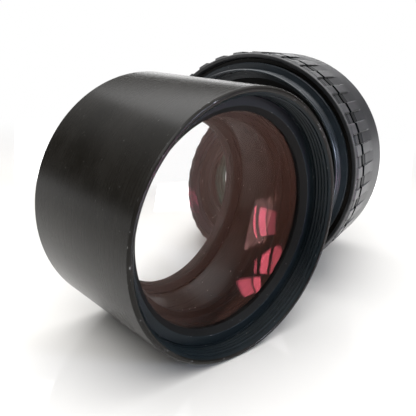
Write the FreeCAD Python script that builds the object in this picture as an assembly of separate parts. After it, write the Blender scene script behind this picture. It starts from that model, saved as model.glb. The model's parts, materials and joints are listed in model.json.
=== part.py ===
"""Two-inch wide-field telescope eyepiece, lying on a table in its two halves.

Half one is the push-fit barrel with the negative field lens inside. Half two is the eye-end body,
unscrewed from the barrel, with a turning rubber grip that raises the eyecup.
The row's origin is the middle of the barrel on its axis. The barrel's axis is +Y, with its filter
thread facing -Y. +Z is up, and the table is one barrel radius below the origin. Sizes are in mm.
"""

import FreeCAD, Part

import math
import os

V = FreeCAD.Vector

# ---- driving dimensions: barrel ----------------------------------------------------------------
BARREL_R = 25.4            # two-inch push fit, 50.8 mm across
BARREL_LENGTH = 31.6
RIM_CHAMFER = 0.35
THREAD_WALL = 1.4          # leaves the M48 filter thread, 24.0 mm in radius
THREAD_LEAD_IN = 0.6
RETAINER_DEPTH = 4.1       # from the rim to the face of the lens retainer
RETAINER_THICKNESS = 1.6
RETAINER_WIDTH = 2.95
RETAINER_STEP = 0.4        # from the filter thread down to the retainer's own thread
CELL_FLANGE = 1.2
BORE_STEP = 0.3            # from the retainer's thread down to the plain bore
CELL_WALL = 1.85
CELL_LIP_WIDTH = 1.3
CELL_LIP_THICKNESS = 0.6
BAFFLE_SETBACK = 0.6       # from the end of the bore to the baffle
BAFFLE_LENGTH = 2.4
BAFFLE_WIDTH = 1.0
REAR_THREAD_LENGTH = 5.4

# ---- driving dimensions: field lens ------------------------------------------------------------
FIELD_FRONT_CURVE = 65.0   # concave towards the filter thread
FIELD_CEMENT_CURVE = 200.0 # concave towards the filter thread
FIELD_BACK_CURVE = 300.0   # concave towards the eye
FIELD_CROWN_CENTRE = 1.2
FIELD_FLINT_CENTRE = 1.5

# ---- driving dimensions: eye-end body ----------------------------------------------------------
SPIGOT_LENGTH = 3.3
SPIGOT_WALL = 0.6
SPIGOT_CHAMFER = 0.4
FLANGE_FRONT = -3.9        # from the middle of the groove in the grip, towards the barrel
FLANGE_THICKNESS = 1.0
DRUM_STEP = 0.4            # from the flange down to the drum that the grip turns on
DRUM_END = 2.0
MOUTH_DEPTH = 4.6
STOP_BORE_WALL = 3.2       # from the drum down to the bore that holds the field stop
STOP_SEAT = -0.3
FIELD_STOP_THICKNESS = 1.4
FIELD_STOP_OVERLAP = 0.4   # how far the field stop covers the lens bore behind it
CARRIER_STEP = 4.5         # from the drum down to the eyecup carrier
CARRIER_WALL = 1.4
NECK_WALL = 1.0
EYE_BORE_STEP = 3.0        # from the large lens bore down to the eye lens bore
EYE_LIP_WIDTH = 1.8
EYE_LIP_THICKNESS = 1.0
EYE_SEAT_DEPTH = 3.0       # from the end of the lens housing down to the eye lens

# ---- driving dimensions: lenses of the eye-end body --------------------------------------------
LENS_RETAINER_THICKNESS = 1.6
LENS_RETAINER_WIDTH = 1.75
COLLECTOR_CROWN_EDGE = 2.8
COLLECTOR_FLINT_CENTRE = 2.0
COLLECTOR_CURVES = (90.0, -50.0, -200.0)
MIDDLE_EDGE = 2.2
MIDDLE_CURVES = (55.0, -90.0)
LENS_AIR_GAP = 0.5         # between the poles of the collector and the middle lens
EYE_AIR_GAP = 4.2          # between the poles of the middle lens and the eye lens
EYE_CROWN_EDGE = 1.5
EYE_FLINT_CENTRE = 1.6
EYE_CURVES = (300.0, 40.0, -70.0)
SPACER_WIDTH = 1.35

# ---- driving dimensions: grip ------------------------------------------------------------------
SLEEVE_WALL = 1.45
NUT_COVER = 0.5            # how far the nut reaches past the guide keys
NUT_WALL = 1.8
NUT_WEB_START = 14.0
RUBBER_BASE = 0.9
BLOCK_HEIGHT = 0.55
BAND_DROP = 0.1            # the smooth band is this much lower than the blocks
GRIP_FRONT = -4.2
GRIP_END = 17.8
GRIP_CHAMFER = 0.3
GRIP_GROOVE_WIDTH = 0.8
GRIP_GROOVE_DEPTH = 0.5
BLOCK_COUNT = 34
BLOCK_SHARE = 0.5          # share of the pitch that a block covers
FRONT_BLOCKS_END = -1.0
REAR_BLOCKS_START = 1.0
REAR_BLOCKS_END = 10.2

# ---- driving dimensions: twist drive and eyecup ------------------------------------------------
TWIST = 90.0               # turn of the grip from eyecup down to eyecup up, degrees
RISE = 7.5                 # travel of the eyecup over that turn
DRIVE_COUNT = 3            # stop screws and guide keys, evenly round the axis
STOP_SCREW_R = 0.95
STOP_GROOVE_DEPTH = 1.0
STOP_MARGIN = 1.3          # degrees left at each end of the stop groove
KEY_R = 1.0
KEY_SETBACK = 9.5          # from the end of the lens housing to the guide keys
KEY_GROOVE_DEPTH = 1.2
CARRIER_FOOT_GAP = 1.0     # from the drum to the carrier when the eyecup is down
CARRIER_OVERHANG = 1.4     # how far the carrier reaches past the lens housing
CUP_RING_THICKNESS = 1.5
CUP_RING_OVERHANG = 0.9
CUP_RING_WIDTH = 5.4
CUP_GAP = 2.5              # from the drive nut to the eyecup's rubber
CUP_WALL = 1.3
CUP_FLARE = 0.4
CUP_HEIGHT = 4.4
EYE_RING_THICKNESS = 0.9
EYE_RING_WIDTH = 3.2
EYE_RING_STEP = 1.0        # from the outside of the lens housing down to its ring

# ---- clearances --------------------------------------------------------------------------------
THREAD_GAP = 0.05          # mated threads and push fits within one half
GLASS_GAP = 0.05           # lens edge to its cell
FACE_GAP = 0.03            # faces that seat on each other
CEMENT = 0.02              # cement layer in a doublet
TURN_GAP = 0.05            # grip on its drum
SLIDE_GAP = 0.1            # eyecup carrier on the neck and in the grip
END_GAP = 0.3              # axial room between the grip and the body

# ---- how the two halves lie --------------------------------------------------------------------
LAY_ANGLE = 71.8           # from the barrel's axis to the eye-end body's axis, degrees
LAY_GAP = 1.1              # from the barrel's far corner to the front of the spigot
LAY_OFFSET = 3.0           # how far that corner is from the eye-end body's axis, seen from above

# ---- radii, worked out from the outside in -----------------------------------------------------
filter_thread_r = BARREL_R - THREAD_WALL
retainer_thread_r = filter_thread_r - RETAINER_STEP
bore_r = retainer_thread_r - BORE_STEP
cell_r = bore_r - THREAD_GAP
field_lens_r = cell_r - CELL_WALL
spigot_r = filter_thread_r - 2 * THREAD_GAP
mouth_r = spigot_r - SPIGOT_WALL
drum_r = BARREL_R - DRUM_STEP
stop_bore_r = drum_r - STOP_BORE_WALL
carrier_r = drum_r - CARRIER_STEP
carrier_bore_r = carrier_r - CARRIER_WALL
neck_r = carrier_bore_r - SLIDE_GAP
lens_bore_r = neck_r - NECK_WALL
eye_bore_r = lens_bore_r - EYE_BORE_STEP
sleeve_front_bore_r = drum_r + TURN_GAP
sleeve_rear_bore_r = carrier_r + SLIDE_GAP
sleeve_r = sleeve_front_bore_r + SLEEVE_WALL
grip_base_r = sleeve_r + RUBBER_BASE
grip_r = grip_base_r + BLOCK_HEIGHT
nut_rim_r = sleeve_front_bore_r - THREAD_GAP


def revolved(points):
    """Solid of revolution about Z from a closed outline of (radius, height) points."""
    outline = Part.makePolygon([V(r, 0, z) for r, z in points + points[:1]])
    return Part.Face(outline).revolve(V(0, 0, 0), V(0, 0, 1), 360)


def ring(outer, inner, low, high):
    """Plain ring about Z."""
    return revolved([(inner, low), (outer, low), (outer, high), (inner, high)])


def sector(outer, inner, low, high, middle, width):
    """Piece of a ring, centred on the angle middle and width degrees wide, measured from X."""
    outline = Part.makePolygon([V(r, 0, z) for r, z in
                                ((inner, low), (outer, low), (outer, high), (inner, high), (inner, low))])
    piece = Part.Face(outline).revolve(V(0, 0, 0), V(0, 0, 1), width)
    piece.rotate(V(0, 0, 0), V(0, 0, 1), middle - width / 2)
    return piece


def round_bar(radius, inner, outer, height, angle):
    """Cylinder that lies along a radius at a height and angle, such as a screw or a key."""
    bar = Part.makeCylinder(radius, outer - inner, V(inner, 0, height), V(1, 0, 0))
    bar.rotate(V(0, 0, 0), V(0, 0, 1), angle)
    return bar


def drive_angles():
    """Angles of the stop screws and guide keys."""
    return [360.0 * i / DRIVE_COUNT for i in range(DRIVE_COUNT)]


def sag(curve, radius):
    """Height of a spherical surface at a radius above its pole; the sign is that of the curve."""
    return curve - math.copysign(math.sqrt(curve * curve - radius * radius), curve)


def lens(radius, front_curve, back_curve, front_pole, back_pole):
    """Lens about Z. A positive curve has its centre further along +Z than its surface."""
    def arc(curve, pole, start, end):
        points = [V(r, 0, pole + sag(curve, r)) for r in (start, (start + end) / 2, end)]
        return Part.Arc(*points).toShape()

    front_edge = V(radius, 0, front_pole + sag(front_curve, radius))
    back_edge = V(radius, 0, back_pole + sag(back_curve, radius))
    outline = Part.Wire([
        arc(front_curve, front_pole, 0, radius),
        Part.makeLine(front_edge, back_edge),
        arc(back_curve, back_pole, radius, 0),
        Part.makeLine(V(0, 0, back_pole), V(0, 0, front_pole)),
    ])
    return Part.Face(outline).revolve(V(0, 0, 0), V(0, 0, 1), 360)


def barrel_pieces():
    """Barrel and field lens group, about Z, with the filter thread's rim at zero."""
    retainer_back = RETAINER_DEPTH + RETAINER_THICKNESS
    cell_front = retainer_back + FACE_GAP
    seat = cell_front + CELL_FLANGE + FACE_GAP
    rear_thread = BARREL_LENGTH - REAR_THREAD_LENGTH
    far_bore = filter_thread_r + RIM_CHAMFER

    front_pole = cell_front + sag(FIELD_FRONT_CURVE, field_lens_r)
    cement_pole = front_pole + FIELD_CROWN_CENTRE
    back_pole = cement_pole + CEMENT + FIELD_FLINT_CENTRE
    front_lens = lens(field_lens_r, -FIELD_FRONT_CURVE, -FIELD_CEMENT_CURVE, front_pole, cement_pole)
    rear_lens = lens(field_lens_r, -FIELD_CEMENT_CURVE, FIELD_BACK_CURVE, cement_pole + CEMENT, back_pole)
    lip_front = back_pole + sag(FIELD_BACK_CURVE, field_lens_r) + FACE_GAP
    cell_back = lip_front + CELL_LIP_THICKNESS

    tube = revolved([
        (filter_thread_r + THREAD_LEAD_IN, 0),
        (BARREL_R - RIM_CHAMFER, 0),
        (BARREL_R, RIM_CHAMFER),
        (BARREL_R, BARREL_LENGTH - RIM_CHAMFER),
        (BARREL_R - RIM_CHAMFER, BARREL_LENGTH),
        (far_bore, BARREL_LENGTH),
        (filter_thread_r, BARREL_LENGTH - RIM_CHAMFER),
        (filter_thread_r, rear_thread),
        (bore_r, rear_thread),
        (bore_r, seat),
        (retainer_thread_r, seat),
        (retainer_thread_r, RETAINER_DEPTH),
        (filter_thread_r, RETAINER_DEPTH),
        (filter_thread_r, THREAD_LEAD_IN),
    ])
    retainer_r = retainer_thread_r - THREAD_GAP
    retainer = ring(retainer_r, retainer_r - RETAINER_WIDTH, RETAINER_DEPTH, retainer_back)
    cell = revolved([
        (field_lens_r + GLASS_GAP, cell_front),
        (retainer_r, cell_front),
        (retainer_r, cell_front + CELL_FLANGE),
        (cell_r, cell_front + CELL_FLANGE),
        (cell_r, cell_back),
        (field_lens_r - CELL_LIP_WIDTH, cell_back),
        (field_lens_r - CELL_LIP_WIDTH, lip_front),
        (field_lens_r + GLASS_GAP, lip_front),
    ])
    baffle_r = bore_r - THREAD_GAP
    baffle_end = rear_thread - BAFFLE_SETBACK
    baffle = ring(baffle_r, baffle_r - BAFFLE_WIDTH, baffle_end - BAFFLE_LENGTH, baffle_end)
    return {
        "barrel_tube": tube,
        "field_lens_retainer": retainer,
        "field_lens_cell": cell,
        "field_lens_front": front_lens,
        "field_lens_rear": rear_lens,
        "barrel_baffle": baffle,
    }


def body_front():
    """Front of the eye end: threaded spigot, flange, and the drum that the grip turns on."""
    spigot_front = FLANGE_FRONT - SPIGOT_LENGTH
    flange_back = FLANGE_FRONT + FLANGE_THICKNESS
    mouth_back = spigot_front + MOUTH_DEPTH
    housing_thread_r = neck_r + THREAD_GAP
    drum = revolved([
        (mouth_r, spigot_front),
        (spigot_r - SPIGOT_CHAMFER, spigot_front),
        (spigot_r, spigot_front + SPIGOT_CHAMFER),
        (spigot_r, FLANGE_FRONT),
        (BARREL_R, FLANGE_FRONT),
        (BARREL_R, flange_back),
        (drum_r, flange_back),
        (drum_r, DRUM_END),
        (housing_thread_r, DRUM_END),
        (housing_thread_r, STOP_SEAT),
        (stop_bore_r, STOP_SEAT),
        (stop_bore_r, mouth_back),
        (mouth_r, mouth_back),
    ])
    half_groove = STOP_SCREW_R + SLIDE_GAP
    screw_angle = math.degrees(math.asin(STOP_SCREW_R / (drum_r - STOP_GROOVE_DEPTH)))
    arc = TWIST + 2 * (screw_angle + STOP_MARGIN)
    grooves = [sector(drum_r + 1, drum_r - STOP_GROOVE_DEPTH, -half_groove, half_groove, a + TWIST / 2, arc)
               for a in drive_angles()]
    return drum.cut(grooves)


def lens_housing():
    """Tube that screws into the front from behind, holds the lenses and guides the eyecup."""
    seat = eye_seat()
    end = neck_end()
    lip_r = eye_bore_r - EYE_LIP_WIDTH
    tube = revolved([
        (lens_bore_r, STOP_SEAT),
        (neck_r, STOP_SEAT),
        (neck_r, end),
        (eye_bore_r, end),
        (lip_r, seat + EYE_LIP_THICKNESS),
        (lip_r, seat),
        (eye_bore_r, seat),
        (eye_bore_r, middle_lens_seat()),
        (lens_bore_r, middle_lens_seat()),
    ])
    half_width = KEY_R + TURN_GAP
    grooves = []
    for angle in drive_angles():
        groove = Part.makeBox(
            KEY_GROOVE_DEPTH + 1, 2 * half_width, RISE + 2 * (KEY_R + SLIDE_GAP),
            V(neck_r - KEY_GROOVE_DEPTH, -half_width, key_place() - KEY_R - SLIDE_GAP))
        groove.rotate(V(0, 0, 0), V(0, 0, 1), angle)
        grooves.append(groove)
    return tube.cut(grooves)


def collector_poles():
    """Heights of the three surfaces of the collector doublet on the axis.

    The inner edge of the retainer's bore bears on the front surface.
    """
    contact = STOP_SEAT + LENS_RETAINER_THICKNESS + 2 * FACE_GAP
    front = contact - sag(COLLECTOR_CURVES[0], lens_bore_r - THREAD_GAP - LENS_RETAINER_WIDTH)
    glass_r = lens_bore_r - GLASS_GAP
    cement = (front + sag(COLLECTOR_CURVES[0], glass_r) + COLLECTOR_CROWN_EDGE
              - sag(COLLECTOR_CURVES[1], glass_r))
    return front, cement, cement + CEMENT + COLLECTOR_FLINT_CENTRE


def middle_lens_poles():
    """Heights of the two surfaces of the middle lens on the axis."""
    radius = lens_bore_r - GLASS_GAP
    front = collector_poles()[2] + LENS_AIR_GAP
    edge = front + sag(MIDDLE_CURVES[0], radius) + MIDDLE_EDGE
    return front, edge - sag(MIDDLE_CURVES[1], radius)


def middle_lens_seat():
    """Height of the step whose inner edge bears on the back of the middle lens."""
    return middle_lens_poles()[1] + sag(MIDDLE_CURVES[1], eye_bore_r) + FACE_GAP


def eye_lens_poles():
    """Heights of the three surfaces of the eye lens doublet on the axis."""
    radius = eye_bore_r - GLASS_GAP
    front = middle_lens_poles()[1] + EYE_AIR_GAP
    cement = front + EYE_FLINT_CENTRE + CEMENT
    edge = cement + sag(EYE_CURVES[1], radius) + EYE_CROWN_EDGE
    return front, cement, edge - sag(EYE_CURVES[2], radius)


def eye_seat():
    """Height of the lip whose inner edge bears on the back of the eye lens."""
    return eye_lens_poles()[2] + sag(EYE_CURVES[2], eye_bore_r - EYE_LIP_WIDTH) + FACE_GAP


def neck_end():
    """Height of the lens housing's end."""
    return eye_seat() + EYE_SEAT_DEPTH


def key_place():
    """Height of the guide keys when the eyecup is down."""
    return neck_end() - KEY_SETBACK


def nut_end():
    """Height of the end of the drive nut."""
    return key_place() + NUT_COVER


def eye_optics():
    """Field stop, lens groups, spacers and rings of the eye end."""
    glass_r = lens_bore_r - GLASS_GAP
    ring_r = lens_bore_r - THREAD_GAP
    stop_r = stop_bore_r - THREAD_GAP
    stop_back = STOP_SEAT - FACE_GAP
    field_stop = ring(stop_r, lens_bore_r - FIELD_STOP_OVERLAP, stop_back - FIELD_STOP_THICKNESS, stop_back)
    retainer_front = STOP_SEAT + FACE_GAP
    retainer = ring(ring_r, ring_r - LENS_RETAINER_WIDTH, retainer_front,
                    retainer_front + LENS_RETAINER_THICKNESS)

    front, cement, back = collector_poles()
    crown = lens(glass_r, COLLECTOR_CURVES[0], COLLECTOR_CURVES[1], front, cement)
    flint = lens(glass_r, COLLECTOR_CURVES[1], COLLECTOR_CURVES[2], cement + CEMENT, back)

    middle_front, middle_back = middle_lens_poles()
    middle = lens(glass_r, MIDDLE_CURVES[0], MIDDLE_CURVES[1], middle_front, middle_back)
    spacer_bore = ring_r - SPACER_WIDTH
    front_spacer = ring(ring_r, spacer_bore, back + sag(COLLECTOR_CURVES[2], spacer_bore) + FACE_GAP,
                        middle_front + sag(MIDDLE_CURVES[0], spacer_bore) - FACE_GAP)

    eye_glass_r = eye_bore_r - GLASS_GAP
    eye_front, eye_cement, eye_back = eye_lens_poles()
    eye_flint = lens(eye_glass_r, EYE_CURVES[0], EYE_CURVES[1], eye_front, eye_cement - CEMENT)
    eye_crown = lens(eye_glass_r, EYE_CURVES[1], EYE_CURVES[2], eye_cement, eye_back)
    rear_ring_r = eye_bore_r - THREAD_GAP
    rear_spacer_bore = rear_ring_r - SPACER_WIDTH
    rear_spacer = ring(rear_ring_r, rear_spacer_bore,
                       middle_back + sag(MIDDLE_CURVES[1], rear_spacer_bore) + FACE_GAP,
                       eye_front + sag(EYE_CURVES[0], rear_spacer_bore) - FACE_GAP)
    eye_ring_r = neck_r - EYE_RING_STEP
    eye_ring_front = neck_end() + FACE_GAP
    eye_ring = ring(eye_ring_r, eye_ring_r - EYE_RING_WIDTH, eye_ring_front,
                    eye_ring_front + EYE_RING_THICKNESS)
    return {
        "field_stop": field_stop,
        "collector_retainer": retainer,
        "collector_crown": crown,
        "collector_flint": flint,
        "front_spacer": front_spacer,
        "middle_lens": middle,
        "rear_spacer": rear_spacer,
        "eye_lens_flint": eye_flint,
        "eye_lens_crown": eye_crown,
        "eye_lens_ring": eye_ring,
    }


def grip_sleeve():
    """Metal sleeve under the rubber. Its front turns on the drum."""
    front = FLANGE_FRONT + FLANGE_THICKNESS + END_GAP
    sleeve = ring(sleeve_r, sleeve_front_bore_r, front, GRIP_END)
    holes = [round_bar(STOP_SCREW_R + CEMENT, drum_r - 1, sleeve_r + 1, 0, a) for a in drive_angles()]
    return sleeve.cut(holes)


def drive_nut():
    """Long nut pressed into the sleeve by its rim. Its coarse thread raises the eyecup carrier."""
    front = DRUM_END + END_GAP
    nut_r = sleeve_rear_bore_r + NUT_WALL
    return revolved([
        (sleeve_rear_bore_r, front),
        (nut_r, front),
        (nut_r, NUT_WEB_START),
        (nut_rim_r, NUT_WEB_START),
        (nut_rim_r, GRIP_END),
        (nut_r, GRIP_END),
        (nut_r, nut_end()),
        (sleeve_rear_bore_r, nut_end()),
    ])


def grip_rubber():
    """Rubber grip: two rows of raised blocks with a groove between them, then a smooth band."""
    inner = sleeve_r + CEMENT
    band_r = grip_r - BAND_DROP
    half_groove = GRIP_GROOVE_WIDTH / 2
    groove_r = grip_base_r - GRIP_GROOVE_DEPTH
    base = revolved([
        (inner, GRIP_FRONT),
        (grip_base_r - GRIP_CHAMFER, GRIP_FRONT),
        (grip_base_r, GRIP_FRONT + GRIP_CHAMFER),
        (grip_base_r, -half_groove),
        (groove_r, -half_groove),
        (groove_r, half_groove),
        (grip_base_r, half_groove),
        (grip_base_r, REAR_BLOCKS_END),
        (band_r, REAR_BLOCKS_END),
        (band_r, GRIP_END - GRIP_CHAMFER),
        (band_r - GRIP_CHAMFER, GRIP_END),
        (inner, GRIP_END),
    ])
    pitch = 360.0 / BLOCK_COUNT
    root_r = grip_base_r - BLOCK_HEIGHT / 2
    blocks = []
    for i in range(BLOCK_COUNT):
        for low, high in ((GRIP_FRONT + GRIP_CHAMFER, FRONT_BLOCKS_END),
                          (REAR_BLOCKS_START, REAR_BLOCKS_END + GRIP_CHAMFER)):
            blocks.append(sector(grip_r, root_r, low, high, i * pitch, pitch * BLOCK_SHARE))
    return base.multiFuse(blocks)


def grip_pieces():
    """Everything that turns with the grip."""
    screws = [round_bar(STOP_SCREW_R, drum_r - STOP_GROOVE_DEPTH + SLIDE_GAP, sleeve_r - SLIDE_GAP, 0, a)
              for a in drive_angles()]
    washer_bore_r = sleeve_rear_bore_r + SLIDE_GAP
    return {
        "grip_sleeve": grip_sleeve(),
        "drive_nut": drive_nut(),
        "grip_rubber": grip_rubber(),
        "stop_screws": Part.makeCompound(screws),
        "glide_washer": ring(washer_bore_r + NUT_WALL, washer_bore_r,
                             DRUM_END + 2 * FACE_GAP, DRUM_END + END_GAP - FACE_GAP),
    }


def eyecup_pieces():
    """Everything that rises with the eyecup."""
    carrier_end = neck_end() + CARRIER_OVERHANG
    carrier = ring(carrier_r, carrier_bore_r, DRUM_END + CARRIER_FOOT_GAP, carrier_end)
    angles = drive_angles()
    holes = [round_bar(KEY_R + CEMENT, carrier_bore_r - 1, carrier_r + 1, key_place(), a) for a in angles]
    keys = [round_bar(KEY_R, neck_r - KEY_GROOVE_DEPTH + SLIDE_GAP, carrier_r - SLIDE_GAP, key_place(), a)
            for a in angles]
    ring_bottom = carrier_end + FACE_GAP
    ring_top = ring_bottom + CUP_RING_THICKNESS
    cup_ring_r = carrier_r + CUP_RING_OVERHANG
    cup_ring = ring(cup_ring_r, cup_ring_r - CUP_RING_WIDTH, ring_bottom, ring_top)

    hug_r = carrier_r + CEMENT
    side_r = cup_ring_r + CEMENT
    lip_top = ring_top + CUP_HEIGHT
    cup_start = nut_end() + CUP_GAP
    rubber = revolved([
        (hug_r, cup_start),
        (hug_r + CUP_WALL, cup_start),
        (side_r + CUP_WALL, ring_bottom),
        (side_r + CUP_WALL, ring_top),
        (side_r + CUP_FLARE + CUP_WALL / 2, lip_top - CUP_WALL),
        (side_r + CUP_FLARE, lip_top),
        (side_r + CUP_FLARE - CUP_WALL / 2, lip_top - CUP_WALL),
        (side_r - CUP_WALL, ring_top + FACE_GAP),
        (side_r, ring_top + FACE_GAP),
        (side_r, carrier_end),
        (hug_r, carrier_end),
    ])
    return {
        "eyecup_carrier": carrier.cut(holes),
        "guide_keys": Part.makeCompound(keys),
        "eyecup_ring": cup_ring,
        "eyecup_rubber": rubber,
    }


def lay_barrel(shape):
    """Turns a barrel piece from Z to +Y and centres it on the origin."""
    turn = FreeCAD.Rotation(V(0, 0, 1), V(1, 0, 0), V(0, 1, 0), "ZXY")
    laid = shape.copy()
    laid.Placement = FreeCAD.Placement(V(0, -BARREL_LENGTH / 2, 0), turn)
    return laid


def eye_frame():
    """Where the eye-end body lies: the groove of its grip on its axis, and the axis itself."""
    angle = math.radians(LAY_ANGLE)
    axis = V(math.sin(angle), math.cos(angle), 0)
    side = V(math.cos(angle), -math.sin(angle), 0)
    corner = V(BARREL_R, BARREL_LENGTH / 2, 0)
    spigot_front = FLANGE_FRONT - SPIGOT_LENGTH
    centre = corner + axis * (LAY_GAP - spigot_front) + side * LAY_OFFSET
    centre.z = grip_r - BARREL_R
    return centre, axis, side


def lay_eye_end(shape):
    """Turns an eye-end piece from Z to its own axis and sets it on the table beside the barrel."""
    centre, axis, side = eye_frame()
    laid = shape.copy()
    laid.Placement = FreeCAD.Placement(centre, FreeCAD.Rotation(V(0, 0, 1), side, axis, "ZXY"))
    return laid


os.makedirs("parts", exist_ok=True)
for name, shape in barrel_pieces().items():
    lay_barrel(shape).exportStep(f"parts/{name}.step")
housings = {"body_front": body_front(), "lens_housing": lens_housing()}
eye_end = {**housings, **eye_optics(), **grip_pieces(), **eyecup_pieces()}
for name, shape in eye_end.items():
    lay_eye_end(shape).exportStep(f"parts/{name}.step")

centre, axis, side = eye_frame()
print("eye-end centre", [round(c, 4) for c in centre], "axis", [round(c, 6) for c in axis])
print("lead per radian", round(RISE / math.radians(TWIST), 6), "mm; grip radius", round(grip_r, 3))
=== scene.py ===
"""Two-inch telescope eyepiece in its two unscrewed halves: looks, table, light and camera."""

import json
import math

import bpy
import numpy as np
from mathutils import Matrix, Vector


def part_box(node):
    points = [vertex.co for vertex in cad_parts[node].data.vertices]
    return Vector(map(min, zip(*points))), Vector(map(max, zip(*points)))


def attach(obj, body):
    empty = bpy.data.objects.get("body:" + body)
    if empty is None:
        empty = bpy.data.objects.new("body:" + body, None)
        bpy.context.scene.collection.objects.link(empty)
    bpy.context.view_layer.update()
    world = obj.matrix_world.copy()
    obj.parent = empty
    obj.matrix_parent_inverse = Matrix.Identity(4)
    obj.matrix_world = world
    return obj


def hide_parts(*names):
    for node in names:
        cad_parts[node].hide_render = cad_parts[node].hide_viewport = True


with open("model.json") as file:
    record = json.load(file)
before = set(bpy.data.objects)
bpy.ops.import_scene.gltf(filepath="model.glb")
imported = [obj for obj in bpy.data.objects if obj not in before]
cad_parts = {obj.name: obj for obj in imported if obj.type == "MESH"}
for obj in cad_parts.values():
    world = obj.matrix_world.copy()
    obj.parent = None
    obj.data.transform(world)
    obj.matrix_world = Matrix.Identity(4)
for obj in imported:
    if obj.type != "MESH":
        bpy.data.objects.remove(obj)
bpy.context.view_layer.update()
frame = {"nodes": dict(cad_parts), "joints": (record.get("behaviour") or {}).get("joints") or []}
MM = 0.001


# ---- barrel ------------------------------------------------------------------------------------
# Aluminium tube turned on a lathe, two inches across, then anodised satin black. Its rims are
# broken with fine chamfers, and both ends are threaded inside for M48 filters and the eye end.

tube_low, tube_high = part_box("barrel_tube")
barrel_r = (tube_high.x - tube_low.x) / 2 / MM
barrel_length = (tube_high.y - tube_low.y) / MM
barrel_seat = (Vector((0, tube_low.y, 0)), Vector((0, 1, 0)))

thread_r = barrel_r - 1.4
thread_pitch = 0.75
thread_depth = 0.3
retainer_depth = 4.1
retainer_seat_r = thread_r - 0.4
bore_r = retainer_seat_r - 0.3
retainer_back = retainer_depth + 1.6
cell_seat = retainer_back + 1.26
rear_thread = barrel_length - 5.4
rim_chamfer = 0.35
mouth_bevel = 0.6
round_edge = 0.05


def outline(corners, steps=4):
    """Closed outline from corners (radius, height, fillet), as radii, heights and an edge mark.

    A corner becomes the curve (1-t)^2 A + 2t(1-t) C + t^2 B, where A and B are one fillet away on
    its two sides. A further point holds the flat beside it. The edge mark is 1 on the curve.
    """
    t = np.linspace(0, 1, steps)[:, None]
    points, marks = [], []
    for i, (r, h, fillet) in enumerate(corners):
        corner = np.array([r, h])
        sides = [np.array(corners[k % len(corners)][:2]) - corner for k in (i - 1, i + 1)]
        lengths = [np.linalg.norm(side) for side in sides]
        a, b = (corner + side / length * fillet for side, length in zip(sides, lengths))
        hold_a, hold_b = (corner + side / length * min(2.0 * fillet, 0.45 * length)
                          for side, length in zip(sides, lengths))
        curve = (1 - t) ** 2 * a + 2 * t * (1 - t) * corner + t ** 2 * b
        points += [hold_a[None], curve, hold_b[None]]
        marks += [[0], np.ones(steps), [0]]
    points = np.concatenate(points)
    return points[:, 0], points[:, 1], np.concatenate(marks)


def even_angles(count):
    """Angles k 2 pi / count for k from 0 to count - 1."""
    return np.arange(count) * 2 * math.pi / count


def with_thread(rows, wall_r, start, end, depth, angles):
    """Outline rows with a one-start thread cut into the wall at wall_r between two heights.

    r = wall_r - depth * ridge(h / pitch - angle / 2 pi). The ridge is a triangle wave with flat
    tops and roots, and it fades out over half a pitch at both ends.
    """
    r, h, edge = (np.repeat(v[:, None], len(angles), 1) if v.ndim == 1 else v for v in rows)
    on_wall = np.abs(r[:, 0] - wall_r) < 1e-3
    after = np.nonzero(on_wall[:-1] & on_wall[1:] & (np.minimum(h[:-1, 0], h[1:, 0]) <= start)
                       & (np.maximum(h[:-1, 0], h[1:, 0]) >= end))[0][0] + 1
    heights = np.arange(start, end, thread_pitch / 10)
    if h[after - 1, 0] > h[after, 0]:
        heights = heights[::-1]
    phase = heights[:, None] / thread_pitch - angles[None, :] / (2 * math.pi)
    ridge = np.clip(1.45 - 3.2 * np.abs(phase % 1 - 0.5), 0, 1)
    fade = np.clip(np.minimum(heights - start, end - heights) / (0.5 * thread_pitch), 0, 1)[:, None]
    thread = (wall_r - depth * ridge * fade, heights[:, None] + 0 * ridge, 0.35 * ridge * fade)
    return [np.concatenate([old[:after], new, old[after:]]) for old, new in zip((r, h, edge), thread)]


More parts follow.
